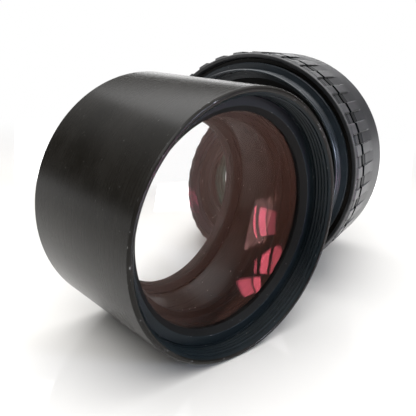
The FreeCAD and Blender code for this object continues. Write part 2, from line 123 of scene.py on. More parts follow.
def turned(name, seat, rows, angles=None, marks=None):
    """Surface of revolution: point = seat + axis h + r (cos a up + sin a side), side = axis x up.

    rows are radii, heights and edge marks in mm, one value for each row or a grid with one column
    for each angle. They run anticlockwise, so faces point outwards. Where the first and last radii
    are zero the piece closes at its poles, and otherwise its last row joins its first. UV is
    (turns, mm along the outline). marks gives a material index for each row.
    """
    angles = even_angles(320) if angles is None else angles
    around = len(angles)
    r, h, edge = (np.repeat(np.asarray(v, float)[:, None], around, 1) if np.ndim(v) == 1 else v
                  for v in rows)
    poled = r[0].max() < 1e-9
    run = np.concatenate([[0], np.cumsum(np.hypot(np.diff(r.mean(1)), np.diff(h.mean(1))))])
    seat_at, axis = (np.array(v) for v in seat)
    up = np.array([0, 0, 1.0])
    side = np.cross(axis, up)
    place = (seat_at + MM * (h[..., None] * axis + (r * np.cos(angles))[..., None] * up
                             + (r * np.sin(angles))[..., None] * side))
    inner = slice(1, -1) if poled else slice(None)
    grid = place[inner].reshape(-1, 3)
    wear = edge[inner].reshape(-1)
    rings = len(grid) // around
    j = np.arange(around)
    j2 = (j + 1) % around
    i = np.arange(rings - 1 if poled else rings)[:, None]
    i2 = (i + 1) % rings
    quads = np.stack([i * around + j, i * around + j2, i2 * around + j2, i2 * around + j], -1).reshape(-1, 4)
    turn = np.append(angles, angles[0] + 2 * math.pi) / (2 * math.pi)
    low = run[inner][i % rings] + 0 * j
    high = (run[inner][i2] if poled else np.append(run, run[-1] + 1)[i + 1]) + 0 * j
    left, right = turn[j] + 0 * i, turn[j + 1] + 0 * i
    uv = np.stack([left, low, right, low, right, high, left, high], -1).reshape(-1, 2)
    loops, starts, totals = [quads.ravel()], [np.arange(len(quads)) * 4], [np.full(len(quads), 4)]
    slots = [] if marks is None else [np.repeat(np.asarray(marks)[inner][:len(i)], around)]
    if poled:
        count = len(grid)
        grid = np.concatenate([grid, place[0, :1], place[-1, :1]])
        wear = np.append(wear, [0, 0])
        last = (rings - 1) * around
        for fan, run_edge, run_pole, flip in ((np.stack([0 * j + count, j2, j], -1), run[1], 0.0, True),
                                              (np.stack([last + j, last + j2, 0 * j + count + 1], -1),
                                               run[-2], run[-1], False)):
            starts.append(np.arange(around) * 3 + sum(len(part) for part in loops))
            loops.append(fan.ravel())
            totals.append(np.full(around, 3))
            edge_uv = [np.stack([turn[j] if k else turn[j + 1], 0 * j + run_edge], -1) for k in (0, 1)]
            pole_uv = np.stack([turn[j], 0 * j + run_pole], -1)
            order = [pole_uv, *edge_uv] if flip else [edge_uv[1], edge_uv[0], pole_uv]
            uv = np.concatenate([uv, np.stack(order, 1).reshape(-1, 2)])
            if marks is not None:
                slots.append(np.full(around, marks[0] if flip else marks[-1]))
    mesh = bpy.data.meshes.new(name)
    mesh.vertices.add(len(grid))
    mesh.vertices.foreach_set("co", grid.ravel())
    loops, starts, totals = (np.concatenate(v) for v in (loops, starts, totals))
    mesh.loops.add(len(loops))
    mesh.loops.foreach_set("vertex_index", loops)
    mesh.polygons.add(len(starts))
    mesh.polygons.foreach_set("loop_start", starts)
    mesh.polygons.foreach_set("loop_total", totals)
    mesh.update(calc_edges=True)
    mesh.uv_layers.new(name="turned").data.foreach_set("uv", uv.ravel())
    mesh.attributes.new("edge", "FLOAT", "POINT").data.foreach_set("value", wear.astype(np.float32))
    mesh.polygons.foreach_set("use_smooth", np.ones(len(starts), bool))
    if marks is not None:
        mesh.polygons.foreach_set("material_index", np.concatenate(slots).astype(np.int32))
    mesh.validate()
    piece = bpy.data.objects.new(name, mesh)
    bpy.context.scene.collection.objects.link(piece)
    return piece


class Wire:
    """One output socket of a material. Arithmetic on wires and numbers adds Math nodes."""

    def __init__(self, tree, socket=None):
        """Keeps the tree that nodes are added to, and the socket that this wire comes from."""
        self.tree, self.socket = tree, socket

    def node(self, kind, settings=None, sockets=None, output=0):
        """Adds a node: its settings first, then its sockets' values or links. Returns one output."""
        made = self.tree.nodes.new(kind)
        for key, value in (settings or {}).items():
            if key == "stops":
                ramp = made.color_ramp
                while len(ramp.elements) < len(value):
                    ramp.elements.new(0.5)
                for element, (place, colour) in zip(ramp.elements, value):
                    element.position, element.color = place, (*colour, 1)
            else:
                setattr(made, key, value)
        for key, value in (sockets or {}).items():
            if isinstance(value, Wire):
                self.tree.links.new(value.socket, made.inputs[key])
            else:
                made.inputs[key].default_value = value
        return Wire(self.tree, made.outputs[output])

    def math(self, operation, *values):
        """The operation's result on one or two values, each a wire or a number."""
        return self.node("ShaderNodeMath", {"operation": operation}, dict(enumerate(values)))

    def __add__(self, other):
        """This wire plus the other."""
        return self.math("ADD", self, other)

    def __sub__(self, other):
        """This wire minus the other."""
        return self.math("SUBTRACT", self, other)

    def __rsub__(self, other):
        """The other minus this wire."""
        return self.math("SUBTRACT", other, self)

    def __mul__(self, other):
        """This wire times the other."""
        return self.math("MULTIPLY", self, other)

    __radd__ = __add__
    __rmul__ = __mul__

    def above(self, low, high):
        """0 below low, 1 above high, with a smooth step between them."""
        return self.node("ShaderNodeMapRange", {"interpolation_type": "SMOOTHSTEP"},
                         {"Value": self, "From Min": low, "From Max": high})

    def blend(self, first, second):
        """Colour blended from first to second by this wire."""
        ends = [(*c, 1) if isinstance(c, tuple) else c for c in (first, second)]
        return self.node("ShaderNodeMix", {"data_type": "RGBA"}, {0: self, 6: ends[0], 7: ends[1]}, output=2)

    def noise(self, scale, detail=2.0, roughness=0.5):
        """Fractal noise at this vector."""
        return self.node("ShaderNodeTexNoise", None,
                         {"Vector": self, "Scale": scale, "Detail": detail, "Roughness": roughness})

    def part(self, index):
        """One of the three numbers of this vector."""
        return self.node("ShaderNodeSeparateXYZ", None, {0: self}, output=index)

    def bump(self, millimetres):
        """Normal of a surface raised by this height times a distance."""
        return self.node("ShaderNodeBump", None, {"Height": self, "Distance": millimetres * MM})


def finish(name, **uniform):
    """New material: its Principled shader with these uniform values, and a wire to build on."""
    material = bpy.data.materials.new(name)
    material.use_nodes = True
    shader = material.node_tree.nodes["Principled BSDF"]
    for key, value in uniform.items():
        value = (*value, 1) if isinstance(value, tuple) else value
        shader.inputs[key.replace("_", " ")].default_value = value
    return material, shader, Wire(material.node_tree)


def feed(shader, **wires):
    """Links each wire to the socket that its keyword names, with spaces for underscores."""
    for key, wire in wires.items():
        wire.tree.links.new(wire.socket, shader.inputs[key.replace("_", " ")])


def turned_metal(name, dark, light, rough, ring_depth=0.0022, worn=0.5, rings_per_mm=7.0, index=1.27):
    """Anodised metal with lathe marks.

    The marks are noise read only along the outline, so they run all the way round. Bare metal
    shows where the edge mark times a fine noise is high, and a few specks of dust lie about.
    """
    material, shader, w = finish(name, IOR=index)
    uv = w.node("ShaderNodeUVMap", {"uv_map": "turned"})
    place = w.node("ShaderNodeTexCoord", output=3)
    edge = w.node("ShaderNodeAttribute", {"attribute_name": "edge"}, output=2)
    lathe = w.node("ShaderNodeCombineXYZ", None, {0: uv.part(1) * rings_per_mm, 1: 0.3}).noise(1.0, 3.0, 0.65)
    cloud = place.noise(70.0, 4.0, 0.6)
    dust = place.noise(1900.0, 2.0, 0.6).above(0.71, 0.76)
    bare = (edge * place.noise(900.0, 3.0, 0.6)).above(0.62, 0.70) * worn
    tint = (cloud * 0.85 + lathe * 0.15).above(0.36, 0.66).blend(dark, light)
    feed(shader,
         Base_Color=bare.blend((dust * 0.25).blend(tint, (0.30, 0.30, 0.29)), (0.42, 0.42, 0.43)),
         Roughness=rough + (cloud - 0.5) * 0.14 + (lathe - 0.5) * 0.10 + dust * 0.25 - edge * 0.06,
         Metallic=bare,
         Normal=(lathe * 0.8 + place.noise(6000.0, 1.0) * 0.5).bump(ring_depth))
    return material


def make(piece, body, slot, materials, *nodes):
    """Gives a piece its materials and body, and stands it in for its CAD nodes; slot is not used."""
    for material in materials:
        piece.data.materials.append(material)
    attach(piece, body)
    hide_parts(*nodes)


anodised = turned_metal("satin_anodised", (0.0085, 0.0075, 0.006), (0.016, 0.0145, 0.0125), 0.27)
inside_anodised = turned_metal("inside_anodised", (0.004, 0.007, 0.009), (0.008, 0.013, 0.016), 0.36)

rows = outline([
    (thread_r + mouth_bevel, 0, 0.15),
    (barrel_r - rim_chamfer, 0, 0.12),
    (barrel_r, rim_chamfer, 0.1),
    (barrel_r, barrel_length - rim_chamfer, 0.1),
    (barrel_r - rim_chamfer, barrel_length, 0.08),
    (thread_r + rim_chamfer, barrel_length, round_edge),
    (thread_r, barrel_length - rim_chamfer, round_edge),
    (thread_r, rear_thread, round_edge),
    (bore_r, rear_thread, round_edge),
    (bore_r, cell_seat, round_edge),
    (retainer_seat_r, cell_seat, round_edge),
    (retainer_seat_r, retainer_depth, round_edge),
    (thread_r, retainer_depth, round_edge),
    (thread_r, mouth_bevel, round_edge),
])
around_barrel = even_angles(320)
rows = with_thread(rows, thread_r, rear_thread + 0.3, barrel_length - 0.5, thread_depth, around_barrel)
rows = with_thread(rows, thread_r, 0.75, retainer_depth - 0.15, thread_depth, around_barrel)
inside = (np.max(rows[0], axis=1) < thread_r + 0.2) & (np.min(rows[1], axis=1) < cell_seat)
make(turned("barrel_shell", barrel_seat, rows, around_barrel, inside.astype(int)),
     "barrel", "black_anodised", [anodised, inside_anodised], "barrel_tube")


# ---- field lens retainer -------------------------------------------------------------------------
# Plain aluminium ring screwed in front of the field lens from the filter end. Its face is turned
# smooth and has no slots, and the wide bevel at its bore is painted near black: painted shade
# between the ring and the lens.

def ring_outline(outer, inner, low, high, bevel=0.15, bore_bevel=None, back_bevel=None):
    """Corners of a ring with bevelled edges; the front of its bore may have a wider bevel."""
    bore = bevel if bore_bevel is None else bore_bevel
    back = bevel if back_bevel is None else back_bevel
    return outline([
        (inner + bore, low, round_edge),
        (outer - bevel, low, round_edge),
        (outer, low + bevel, round_edge),
        (outer, high - bevel, round_edge),
        (outer - bevel, high, round_edge),
        (inner + back, high, round_edge),
        (inner, high - back, round_edge),
        (inner, low + bore, round_edge),
    ])


retainer_r = retainer_seat_r - 0.05
retainer_width = 2.95
retainer_bore = retainer_r - retainer_width
bore_bevel = 1.1
baffled = turned_metal("matte_baffle", (0.003, 0.003, 0.003), (0.007, 0.0069, 0.0066), 0.6, 0.02, 0.1, 4.0)
rows = ring_outline(retainer_r, retainer_bore, retainer_depth, retainer_back, 0.12, bore_bevel)
# Painted shade: the wide bore bevel takes the near-black baffle finish.
bevel = (rows[0] < retainer_bore + bore_bevel - 0.1).astype(int)
make(turned("lens_retainer", barrel_seat, rows, marks=bevel),
     "barrel", "black_anodised", [inside_anodised, baffled], "field_lens_retainer")


# ---- field lens cell -----------------------------------------------------------------------------
# Thin flanged cup of black aluminium. The two glasses drop in from the front and bear on its
# inner lip, and the retainer clamps its flange.

cell_low, cell_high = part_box("field_lens_cell")
cell_front = (cell_low.y - tube_low.y) / MM
cell_back = (cell_high.y - tube_low.y) / MM
cell_r = bore_r - 0.05
cell_wall = 1.85
glass_r = cell_r - cell_wall
cell_flange_back = cell_front + 1.2
lip_front = cell_back - 0.6
lip_width = 1.3

rows = outline([
    (glass_r + 0.05, cell_front, round_edge),
    (retainer_r, cell_front, round_edge),
    (retainer_r, cell_flange_back, round_edge),
    (cell_r, cell_flange_back, round_edge),
    (cell_r, cell_back, round_edge),
    (glass_r - lip_width, cell_back, 0.15),
    (glass_r - lip_width, lip_front, round_edge),
    (glass_r + 0.05, lip_front, 0.02),
])
make(turned("lens_cell", barrel_seat, rows), "barrel", "matte_black", [baffled], "field_lens_cell")


# ---- barrel baffle -------------------------------------------------------------------------------
# Blackened ring pressed into the far end of the bore. Its inside is cut with sharp rings that
# trap stray light.

def grooved_bore(inner, low, high, pitch, depth):
    """Bore of saw-tooth grooves: r = inner + depth * (h / pitch mod 1), read from high to low."""
    count = int((high - low) / pitch)
    heights = high - np.repeat(np.arange(count + 1), 2) * pitch
    radii = inner + np.tile([0.0, depth], count + 1)
    return radii, heights, np.zeros(2 * count + 2)


baffle_low, baffle_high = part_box("barrel_baffle")
baffle_start = (baffle_low.y - tube_low.y) / MM
baffle_end = (baffle_high.y - tube_low.y) / MM
baffle_r = bore_r - 0.05
radii, heights, marks = outline([
    (baffle_r - 0.6, baffle_start, round_edge),
    (baffle_r, baffle_start, round_edge),
    (baffle_r, baffle_end, round_edge),
    (baffle_r - 0.9, baffle_end, round_edge),
])
teeth = grooved_bore(baffle_r - 0.95, baffle_start + 0.1, baffle_end - 0.15, 0.4, 0.3)
rows = [np.concatenate(pair) for pair in zip((radii, heights, marks), teeth)]
make(turned("stray_light_baffle", barrel_seat, rows), "barrel", "matte_black", [baffled], "barrel_baffle")


# ---- field lens ----------------------------------------------------------------------------------
# Negative doublet of two cemented glasses, ground and polished. The outer faces carry a magenta
# anti-reflection coating, and the ground edge is painted black.

def coating(name, tint, body=(1.0, 1.0, 1.0), index=1.6):
    """Polished glass. The tint colours what it reflects, with faint cleaning marks and dust."""
    material, shader, w = finish(name, IOR=index, Transmission_Weight=1.0, Specular_Tint=tint)
    place = w.node("ShaderNodeTexCoord", output=3)
    smear = place.noise(55.0, 3.0, 0.6).above(0.55, 0.8)
    dust = place.noise(2300.0, 2.0, 0.5).above(0.74, 0.78)
    feed(shader,
         Base_Color=(smear * 0.4 + dust * 0.6).blend(body, tuple(0.93 * c for c in body)),
         Roughness=smear * 0.012 + dust * 0.3)
    return material


def cement():
    """The joint inside a doublet: light goes straight on, with a faint tint from tiny bubbles."""
    material, shader, w = finish("optical_cement")
    place = w.node("ShaderNodeTexCoord", output=3)
    bubbles = place.noise(1500.0, 1.0).above(0.78, 0.8)
    clear = w.node("ShaderNodeBsdfTransparent")
    speck = w.node("ShaderNodeBsdfTransparent", None, {"Color": (0.8, 0.8, 0.8, 1)})
    joint = w.node("ShaderNodeMixShader", None, {0: bubbles, 1: clear, 2: speck})
    w.tree.links.new(joint.socket, w.tree.nodes["Material Output"].inputs[0])
    return material


def edge_paint():
    """Matte black paint brushed round the ground edge."""
    material, shader, w = finish("edge_paint", Specular_IOR_Level=0.2)
    place = w.node("ShaderNodeTexCoord", output=3)
    strokes = place.noise(300.0, 4.0, 0.6)
    feed(shader, Base_Color=strokes.blend((0.004, 0.004, 0.004), (0.012, 0.012, 0.012)),
         Roughness=0.75 + strokes * 0.2, Normal=strokes.bump(0.02))
    return material


def sag(curve, radius):
    """Height of a sphere's surface above its pole: R - sqrt(R^2 - r^2), with the sign of R."""
    return curve - np.sign(curve) * np.sqrt(curve * curve - radius * radius)


def lens_rows(radius, front_curve, back_curve, front_pole, back_pole, edge_bevel=0.12):
    """Rows and marks of a lens: front sphere from pole to edge, bevelled edge, back sphere to pole.

    A positive curve has its centre further along the axis. Marks: 0 front, 1 edge, 2 back.
    """
    out = (radius - edge_bevel) * np.sin(np.linspace(0, math.pi / 2, 28))
    front = (out, front_pole + sag(front_curve, out))
    back = (out[::-1], back_pole + sag(back_curve, out[::-1]))
    side = np.linspace(front[1][-1] + edge_bevel, back[1][0] - edge_bevel, 3)
    r = np.concatenate([front[0], np.full(3, radius), back[0]])
    h = np.concatenate([front[1], side, back[1]])
    marks = np.concatenate([np.zeros(27, int), np.ones(4, int), np.full(28, 2)])
    return (r, h, np.zeros(len(r))), marks


magenta = coating("magenta_coated_glass", (0.46, 0.125, 0.06), (0.95, 0.95, 0.955))
magenta_back = coating("magenta_coated_back", (0.16, 0.05, 0.03), (0.97, 0.97, 0.97))
joint, painted = cement(), edge_paint()
field_front_curve, field_cement_curve, field_back_curve = -65.0, -200.0, 300.0
field_crown_centre, field_flint_centre = 1.2, 1.5
cement_gap = 0.02
front_pole = cell_front - sag(field_front_curve, glass_r)
cement_pole = front_pole + field_crown_centre
back_pole = cement_pole + cement_gap + field_flint_centre
rows, marks = lens_rows(glass_r, field_front_curve, field_cement_curve, front_pole, cement_pole)
make(turned("field_crown_glass", barrel_seat, rows, even_angles(160), marks),
     "barrel", "coated_glass", [magenta, painted, joint], "field_lens_front")
rows, marks = lens_rows(glass_r, field_cement_curve, field_back_curve, cement_pole + cement_gap, back_pole)
make(turned("field_flint_glass", barrel_seat, rows, even_angles(160), marks),
     "barrel", "coated_glass", [joint, painted, magenta_back], "field_lens_rear")


# ---- front of the eye end ------------------------------------------------------------------------
# Turned aluminium ring, anodised black. A short threaded spigot screws into the barrel, a flange
# stops it, and the drum behind the flange carries the turning grip and its stop grooves.

turn_joint = next(joint for joint in frame["joints"] if joint["name"] == "grip_turn")
eye_axis = Vector(turn_joint["axis"]).normalized()
eye_seat = (Vector(turn_joint["pos_m"]), eye_axis)

flange_front = -3.9
flange_back = flange_front + 1.0
spigot_front = flange_front - 3.3
flange_r = barrel_r
drum_r = flange_r - 0.4
spigot_r = thread_r - 0.1
mouth_r = spigot_r - 0.6
mouth_back = spigot_front + 4.6
neck_r = 19.0
stop_bore_r = drum_r - 3.2
stop_seat = -0.3
drum_end = 2.0
stop_groove_half = 1.05
stop_groove_depth = 1.0
stop_screws = 3
stop_middle = math.radians(45)
stop_half_arc = math.radians(45 + 3.6)

around_drum = even_angles(320)
rows = outline([
    (mouth_r + 0.15, spigot_front, round_edge),
    (spigot_r - 0.2, spigot_front, 0.08),
    (spigot_r, spigot_front + 0.3, 0.1),
    (spigot_r, flange_front, 0.03),
    (flange_r - 0.12, flange_front, round_edge),
    (flange_r, flange_front + 0.12, round_edge),
    (flange_r, flange_back - 0.12, round_edge),
    (flange_r - 0.12, flange_back, round_edge),
    (drum_r, flange_back, 0.03),
    (drum_r, -stop_groove_half, 0.02),
    (drum_r - 0.01, 0.01 - stop_groove_half, 0.004),
    (drum_r - 0.01, stop_groove_half - 0.01, 0.004),
    (drum_r, stop_groove_half, 0.02),
    (drum_r, drum_end, round_edge),
    (neck_r + 0.05, drum_end, round_edge),
    (neck_r + 0.05, stop_seat, round_edge),
    (stop_bore_r, stop_seat, round_edge),
    (stop_bore_r, mouth_back, round_edge),
    (mouth_r, mouth_back, round_edge),
    (mouth_r, spigot_front + 0.15, round_edge),
])
rows = with_thread(rows, spigot_r, spigot_front + 0.5, flange_front - 0.15, thread_depth, around_drum)
half_third = math.pi / stop_screws
from_groove = np.abs((around_drum - stop_middle + half_third) % (2 * half_third) - half_third)
in_groove = ((np.abs(rows[1]) < stop_groove_half - 0.005) & (rows[0] > drum_r - 0.5)
             & (from_groove < stop_half_arc))
rows[0] = np.where(in_groove, drum_r - stop_groove_depth, rows[0])
# A lighter, bluer copy of the anodised finish: its tone is partly painted bluish highlight from the window.
painted_highlight_anodised = turned_metal("anodised_painted_blue_highlight", (0.012, 0.017, 0.022), (0.024, 0.033, 0.042), 0.3, index=1.5)
make(turned("spigot_and_drum", eye_seat, rows, around_drum),
     "eye_end", "black_anodised", [painted_highlight_anodised], "body_front")


# ---- field stop ----------------------------------------------------------------------------------
# Blackened ring with a knife edge that bounds the field of view, set against its step.

lens_bore_r = neck_r - 1.0
stop_back = stop_seat - 0.03
stop_front = stop_back - 1.4
stop_r = stop_bore_r - 0.05
stop_opening = lens_bore_r - 0.4
rows = outline([
    (lens_bore_r + 1.1, stop_front, round_edge),
    (stop_r, stop_front, 0.1),
    (stop_r, stop_back, round_edge),
    (stop_opening, stop_back, round_edge),
    (stop_opening, stop_back - 0.3, round_edge),
])
make(turned("field_stop_ring", eye_seat, rows), "eye_end", "matte_black", [baffled], "field_stop")


# ---- lenses of the eye end -----------------------------------------------------------------------
# A thick collector doublet, a middle lens and an eye doublet, stacked in the lens housing with
# plain spacers. Their air faces carry a green anti-reflection coating.

collector_curves = (90.0, -50.0, -200.0)
middle_curves = (55.0, -90.0)
eye_curves = (300.0, 40.0, -70.0)
collector_crown_edge, collector_flint_centre = 2.8, 2.0
middle_edge = 2.2
eye_flint_centre, eye_crown_edge = 1.6, 1.5
front_gap, rear_gap = 0.5, 4.2
lens_gap = 0.05
large_r = lens_bore_r - lens_gap
small_r = lens_bore_r - 3.0 - lens_gap

collector_front = stop_seat + 1.66 - sag(collector_curves[0], large_r - 1.75)
collector_cement = (collector_front + sag(collector_curves[0], large_r) + collector_crown_edge
                    - sag(collector_curves[1], large_r))
collector_back = collector_cement + cement_gap + collector_flint_centre
middle_front = collector_back + front_gap
middle_back = (middle_front + sag(middle_curves[0], large_r) + middle_edge
               - sag(middle_curves[1], large_r))
eye_front = middle_back + rear_gap
eye_cement = eye_front + eye_flint_centre + cement_gap
eye_back = eye_cement + sag(eye_curves[1], small_r) + eye_crown_edge - sag(eye_curves[2], small_r)

green = coating("green_coated_glass", (0.10, 0.34, 0.24))
for name, node, radius, curves, poles, faces in (
        ("collector_crown_glass", "collector_crown", large_r, collector_curves[:2],
         (collector_front, collector_cement), [green, painted, joint]),
        ("collector_flint_glass", "collector_flint", large_r, collector_curves[1:],
         (collector_cement + cement_gap, collector_back), [joint, painted, green]),
        ("middle_glass", "middle_lens", large_r, middle_curves,
         (middle_front, middle_back), [green, painted, green]),
        ("eye_flint_glass", "eye_lens_flint", small_r, eye_curves[:2],
         (eye_front, eye_cement - cement_gap), [green, painted, joint]),
        ("eye_crown_glass", "eye_lens_crown", small_r, eye_curves[1:],
         (eye_cement, eye_back), [joint, painted, green])):
    rows, marks = lens_rows(radius, *curves, *poles)
    make(turned(name, eye_seat, rows, even_angles(128), marks),
         "eye_end", "clear_glass", faces, node)


# ---- lens housing, spacers and rings -------------------------------------------------------------
# The housing is a long black tube screwed into the front from behind. Inside it the glasses are
# parted by plain blackened rings, and a smooth ring dresses its end round the eye lens.

def dress(node, material):
    """Gives a CAD node a finer material in each of its slots."""
    for material_slot in frame["nodes"][node].material_slots:
        material_slot.material = material


def cut_metal(name, dark, light, rough, metallic=0.0, grain=0.01):
    """Machined metal of a plain piece: cloudy tone, fine pitting and a few bright scratches."""
    material, shader, w = finish(name, IOR=1.5, Metallic=metallic)
    place = w.node("ShaderNodeTexCoord", output=3)
    cloud = place.noise(160.0, 4.0, 0.6)
    fine = place.noise(4200.0, 2.0, 0.6)
    feed(shader, Base_Color=cloud.above(0.3, 0.7).blend(dark, light),
         Roughness=rough + (cloud - 0.5) * 0.2 + (fine - 0.5) * 0.1, Normal=fine.bump(grain))
    return material


plain_black = cut_metal("plain_anodised", (0.014, 0.014, 0.014), (0.024, 0.023, 0.022), 0.42)
flocked = cut_metal("flat_black", (0.006, 0.006, 0.006), (0.012, 0.012, 0.0115), 0.75, grain=0.03)
dress("lens_housing", plain_black)
for node in ("collector_retainer", "front_spacer", "rear_spacer"):
    dress(node, flocked)


def height_of(node):
    """Height of a node along the eye end's axis, in mm: (middle of its box - seat) . axis."""
    low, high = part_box(node)
    return (Vector(low + high) / 2 - eye_seat[0]).dot(eye_axis) / MM


ring_middle = height_of("eye_lens_ring")
make(turned("eye_lens_bezel", eye_seat,
            ring_outline(neck_r - 1.0, neck_r - 4.2, ring_middle - 0.45, ring_middle + 0.45, 0.1,
                         back_bevel=0.45)),
     "eye_end", "black_anodised", [anodised], "eye_lens_ring")


# ---- grip sleeve and drive nut -------------------------------------------------------------------
# The sleeve is a plain tube that turns on the drum. A long nut pressed into its back end has the
# coarse thread that raises the eyecup, and a white washer lets it glide on the body.

carrier_r = drum_r - 4.5
sleeve_bore = drum_r + 0.05
sleeve_r = sleeve_bore + 1.45
sleeve_front = flange_front + 1.3
grip_end = 17.8
nut_bore = carrier_r + 0.1
nut_r = nut_bore + 1.8
nut_rim = sleeve_bore - 0.05
nut_front = drum_end + 0.3
nut_web = 14.0
nut_end = 22.0

make(turned("turning_sleeve", eye_seat, ring_outline(sleeve_r, sleeve_bore, sleeve_front, grip_end, 0.15)),
     "grip", "black_anodised", [anodised], "grip_sleeve")
rows = outline([
    (nut_bore + 0.2, nut_front, round_edge),
    (nut_r, nut_front, round_edge),
    (nut_r, nut_web, 0.3),
    (nut_rim, nut_web, round_edge),
    (nut_rim, grip_end, 0.12),
    (nut_r + 0.5, grip_end, 0.2),
    (nut_r, grip_end + 0.5, 0.2),
    (nut_r, nut_end - 0.25, round_edge),
    (nut_r - 0.25, nut_end, round_edge),
    (nut_bore + 0.3, nut_end, round_edge),
    (nut_bore, nut_end - 0.3, round_edge),
    (nut_bore, nut_front + 0.2, round_edge),
])
make(turned("coarse_thread_nut", eye_seat, rows), "grip", "black_anodised", [anodised], "drive_nut")
dress("glide_washer", cut_metal("white_acetal", (0.72, 0.71, 0.67), (0.82, 0.81, 0.78), 0.4, grain=0.004))
dress("stop_screws", cut_metal("blackened_steel", (0.12, 0.12, 0.125), (0.3, 0.3, 0.3), 0.3, 1.0))


# ---- rubber grip ---------------------------------------------------------------------------------
# Moulded rubber band stretched over the sleeve. Two rows of 34 raised blocks lie either side of a
# groove, with shallow notches between them, and lines behind them fade into a smooth band. The
# groove, the shaded flank of each block and parts of the notches are painted near black as shade.

grip_front = -4.2
front_notch_end = -2.6
front_row_end = -0.5
rear_row_start = 1.0
rear_notch_end = 3.0
shaded_flank_end = 8.0
lines_end = 10.2
fade_length = 5.0
blocks = 34
block_half = math.radians(2.65)
block_slope = math.radians(0.16)
grip_low, grip_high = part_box("grip_rubber")
block_r = (grip_high.z - grip_low.z) / 2 / MM
web_r = block_r - 0.26
notch_r = block_r - 0.38
band_r = block_r - 0.08
groove_r = sleeve_r + 0.3
grip_bore = sleeve_r + 0.02


def window(x, low, high, slope):
    """1 between low and high and 0 outside, with straight flanks of twice the slope's width."""
    rise = np.clip((x - low + slope) / (2 * slope), 0, 1)
    return rise * np.clip((high + slope - x) / (2 * slope), 0, 1)


def around_blocks():
    """Angles gathered at the flanks of the blocks, the same in each pitch."""
    pitch = 2 * math.pi / blocks
    flank = block_slope * np.array([-6.0, -3.0, -1.2, -0.6, 0.6, 1.2, 3.0, 6.0])
    local = np.concatenate([-block_half + flank, [-block_half / 3, block_half / 3], block_half + flank])
    return np.sort((np.arange(blocks)[:, None] * pitch + local[None, :]).ravel() % (2 * math.pi))


def grip_surface(angles):
    """Outer surface r(angle, h), with its edge mark: +0.4 on blocks, +1 on their rims, -1 in pits.

    r = notch, then web, then band where the lines have faded, then blocks where both the angle and
    h are inside one, then the notches beside the groove, then the groove. Each step is
    r + (new - r) * mask. A pit is painted shade: the groove, the shaded side of a block, or part of a notch.
    """
    flank = 0.06
    joints = np.array([grip_front + 0.3, front_notch_end, front_row_end, rear_row_start,
                       rear_row_start + 0.4, rear_notch_end, lines_end])
    near = (joints[:, None] + flank * np.array([-3.0, -1.5, -1.0, 1.0, 1.5, 3.0])).ravel()
    h = np.unique(np.concatenate([near, np.linspace(grip_front + 0.32, grip_end - 0.4, 24)]))
    h = h[(h > grip_front + 0.25) & (h < grip_end - 0.35)][:, None]
    pitch = 2 * math.pi / blocks
    offset = ((angles + pitch / 2) % pitch - pitch / 2)[None, :]
    raised = window(offset, -block_half, block_half, block_slope)
    fading = np.clip((lines_end - h) / fade_length, 0, 1)
    before, beyond = grip_front - 2, grip_end + 2
    r = np.full((len(h), len(angles)), notch_r)
    r = r + (web_r - r) * (window(h, front_notch_end, front_row_end, flank)
                           + window(h, rear_row_start, lines_end, flank))
    r = band_r + (r - band_r) * fading
    top = band_r + (block_r - band_r) * fading
    on_rows = window(h, before, front_row_end, flank) + window(h, rear_row_start, beyond, flank)
    r = r + (top - r) * raised * on_rows
    notch = (1 - raised) * window(h, rear_row_start - 0.1, rear_notch_end, flank)
    r = r + (notch_r - r) * notch
    r = r + (groove_r - r) * window(h, front_row_end, rear_row_start, flank)
    rim = block_half - 2.5 * block_slope
    lip = raised * (1 - window(offset, -rim, rim, block_slope))
    # Painted shade along the shaded flank on one side of each block.
    shaded_flank = np.exp(-((np.abs(offset) - block_half) / (2.6 * block_slope)) ** 2) * (offset > 0)
    shaded_flank = shaded_flank * (window(h, before, front_row_end, flank) + window(h, rear_row_start, shaded_flank_end, flank))
    shade = window(h, front_row_end - 0.05, rear_row_start + 0.15, flank) + 0 * raised
    front_notch = (1 - raised) * window(h, before, front_notch_end, flank)
    # Painted shade: the groove, the shaded flanks and part of each notch get edge mark -1 and are coloured
    # near black.
    painted_shade = np.clip(np.maximum.reduce([shade, 0.55 * notch, shaded_flank, 0.3 * front_notch]), 0, 1)
    edge = on_rows * (0.4 * raised + 0.6 * lip) * fading * (1 - painted_shade) - painted_shade
    return r, h + 0 * r, edge


angles = around_blocks()
front = [(grip_bore, grip_front, 0.0), (notch_r - 0.4, grip_front, 0.0), (notch_r - 0.25, grip_front, 0.5),
         (notch_r - 0.08, grip_front + 0.1, 0.8), (notch_r, grip_front + 0.25, 0.5)]
back = [(band_r, grip_end - 0.3, 0.6), (band_r - 0.08, grip_end - 0.12, 0.8),
        (band_r - 0.25, grip_end - 0.02, 0.6), (band_r - 0.35, grip_end, 0.0), (grip_bore, grip_end, 0.0)]
rows = [np.concatenate([np.repeat(np.array(a)[:, None], len(angles), 1), grid,
                        np.repeat(np.array(b)[:, None], len(angles), 1)])
        for a, grid, b in zip(zip(*front), grip_surface(angles), zip(*back))]


